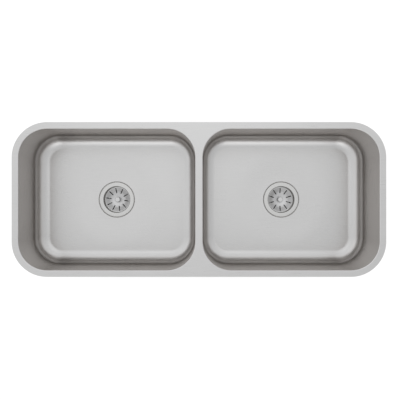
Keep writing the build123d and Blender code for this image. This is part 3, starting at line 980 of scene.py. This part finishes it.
BASKET_TURNS = {"sink": 0, "stopper": 0, "basket": RIGHT_BASKET_TURN}
LEFT_PIECES = [
    (make_bowl(), SINK_STEEL, "sink_steel", "sink", "bowl"),
    (make_mats("left_floor_pads", "left_floor_mats"), MAT_RUBBER, "pad_rubber", "sink", "floor_pads"),
    (make_mats("left_wall_pads", "left_wall_mats"), MAT_RUBBER, "pad_rubber", "sink", "wall_pads"),
    (make_cup(), WASTE_STEEL, "waste_steel", "sink", "strainer_cup"),
    (make_cross_bars(), WASTE_STEEL, "waste_steel", "sink", "cross_bars"),
    (ring("left_flange_seal_ring", SEAL_INNER, SEAL_OUTER, -RECESS_DEPTH, -SHEET, SEAL_EDGE),
     PALE_SEAL, "pale_seal", "sink", "flange_seal"),
    (ring("left_rubber_gasket", WASHER_BORE, WASHER_RADIUS, GASKET_LOW, GASKET_HIGH, GASKET_EDGE),
     BLACK_RUBBER, "black_rubber", "sink", "gasket"),
    (ring("left_fibre_ring", WASHER_BORE, WASHER_RADIUS, FIBRE_LOW, GASKET_LOW, FIBRE_EDGE),
     FIBRE, "fibre", "sink", "friction_ring"),
    (make_locknut(), ZINC, "zinc", "sink", "locknut"),
    (ring("left_slip_washer", WASHER_HOLE, TAIL_FLANGE, TAIL_HIGH, NECK_LOW, SEAL_EDGE),
     PALE_SEAL, "pale_seal", "sink", "tail_washer"),
    (make_tailpiece(), CHROME, "chromed_tube", "sink", "tailpiece"),
    (make_coupling_nut(), CHROME, "chromed_tube", "sink", "coupling_nut"),
    (make_stopper(), BLACK_RUBBER, "black_rubber", "stopper", "stopper"),
    (make_dish(), BASKET_STEEL, "waste_steel", "basket", "basket_dish"),
    (make_knob(), BASKET_STEEL, "waste_steel", "basket", "basket_knob"),
    (make_post(), BASKET_STEEL, "waste_steel", "basket", "basket_post"),
    (ring("left_push_clip", POST_RADIUS, CLIP_RADIUS, CLIP_LOW, CLIP_HIGH, CLIP_EDGE),
     BASKET_STEEL, "waste_steel", "basket", "stopper_clip"),
    (make_catch(), WHITE_PLASTIC, "catch_plastic", "basket", "catch"),
]
dress(make_deck(), SINK_STEEL, "sink", "deck")
for piece, material, slot, body, node in LEFT_PIECES:
    twin = twin_of(piece, BASKET_TURNS[body])
    for side, one in (("left", piece), ("right", twin)):
        dress(one, material, body if body == "sink" else f"{side}_{body}", f"{side}_{node}")


# ---------------------------------------------------------------- studio
FRAME_PIXELS = 400
CAMERA_HEIGHT = 1.63           # above the rim
LENS = 51.86
SENSOR = 36
SINK_IN_FRAME = (198.95, 199.51)   # where the frame shows the sink's centre
STUDIO_LEVEL = 1.025
STUDIO_SLOPE = (-0.147, 0.20, -0.10)               # brighter by this towards +X, +Y and +Z
SOFT_LAMPS = [(12, 90, 14, 0.40), (55, 270, 20, 0.93)]   # tilt, compass angle, half width, gain
FLOOR_SIZE = 16
FLOOR_PAINT = (0.88, 0.88, 0.88)                   # as it lights the sink
FLOOR_PAINT_SEEN = (0.30, 0.30, 0.30)              # as the camera and reflections see it
FLOOR_GLOW_SEEN = 0.78                             # added to that, so that it is white up to its shadow


def make_camera():
    """Straight above the sink, with its centre where the frame shows it."""
    camera = bpy.data.objects.new("camera", bpy.data.cameras.new("camera"))
    bpy.context.scene.collection.objects.link(camera)
    camera.location = (0, 0, CAMERA_HEIGHT)
    camera.data.lens = LENS
    camera.data.sensor_width = SENSOR
    camera.data.shift_x = (FRAME_PIXELS / 2 - SINK_IN_FRAME[0]) / FRAME_PIXELS
    camera.data.shift_y = -(FRAME_PIXELS / 2 - SINK_IN_FRAME[1]) / FRAME_PIXELS
    bpy.context.scene.camera = camera


def soft_lamp(tree, direction, tilt, towards, width, gain):
    """A round soft light in the sky: its tilt from overhead, compass angle from +X, half width and gain."""
    turn = Matrix.Rotation(radians(towards), 3, "Z") @ Matrix.Rotation(radians(tilt), 3, "Y")
    middle = turn @ Vector((0, 0, 1))
    closeness = add_node(tree, "ShaderNodeVectorMath", {0: direction, 1: middle}, operation="DOT_PRODUCT")
    steepness = 1 / (1 - cos(radians(width)))
    falloff = math_node(tree, "MULTIPLY_ADD", closeness.outputs[1], steepness, -steepness)
    return math_node(tree, "MULTIPLY", math_node(tree, "EXPONENT", falloff), gain)


def make_world():
    """A pale studio, a little brighter to the left and the back, with two wide soft lights. The camera
    sees white."""
    world = bpy.data.worlds.new("studio")
    bpy.context.scene.world = world
    world.use_nodes = True
    tree = world.node_tree
    direction = add_node(tree, "ShaderNodeTexCoord").outputs["Generated"]
    slope = add_node(tree, "ShaderNodeVectorMath", {0: direction, 1: STUDIO_SLOPE}, operation="DOT_PRODUCT")
    light = math_node(tree, "ADD", slope.outputs[1], STUDIO_LEVEL)
    for lamp in SOFT_LAMPS:
        light = math_node(tree, "ADD", light, soft_lamp(tree, direction, *lamp))
    seen = add_node(tree, "ShaderNodeLightPath").outputs["Is Camera Ray"]
    strength = add_node(tree, "ShaderNodeMix", {0: seen, 2: light, 3: 1.0}, data_type="FLOAT").outputs[0]
    background = tree.nodes["Background"]
    background.inputs["Color"].default_value = (1, 1, 1, 1)
    tree.links.new(strength, background.inputs["Strength"])


def make_floor():
    """Pale studio floor under the tailpieces, open from below. It keeps the sink's soft shadow."""
    bpy.ops.mesh.primitive_plane_add(size=FLOOR_SIZE, location=(0, 0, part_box("left_tailpiece")[0].z))
    floor = name_it("studio_floor")
    material = bpy.data.materials.new("pale_floor")
    material.use_nodes = True
    tree = material.node_tree
    tree.nodes.clear()
    path = add_node(tree, "ShaderNodeLightPath").outputs
    seen = math_node(tree, "MAXIMUM", path["Is Camera Ray"], path["Is Glossy Ray"])
    pale = between(tree, seen, FLOOR_PAINT, FLOOR_PAINT_SEEN)
    paint = add_node(tree, "ShaderNodeBsdfDiffuse", {"Color": pale}).outputs[0]
    glow_strength = math_node(tree, "MULTIPLY", seen, FLOOR_GLOW_SEEN)
    glow = add_node(tree, "ShaderNodeEmission", {"Strength": glow_strength}).outputs[0]
    surface = add_node(tree, "ShaderNodeAddShader", {0: paint, 1: glow}).outputs[0]
    from_below = add_node(tree, "ShaderNodeNewGeometry").outputs["Backfacing"]
    clear = add_node(tree, "ShaderNodeBsdfTransparent").outputs[0]
    shown = add_node(tree, "ShaderNodeMixShader", {0: from_below, 1: surface, 2: clear}).outputs[0]
    tree.links.new(shown, add_node(tree, "ShaderNodeOutputMaterial").inputs["Surface"])
    floor.data.materials.append(material)


bpy.context.scene.view_settings.view_transform = "Standard"
make_camera()
make_world()
make_floor()
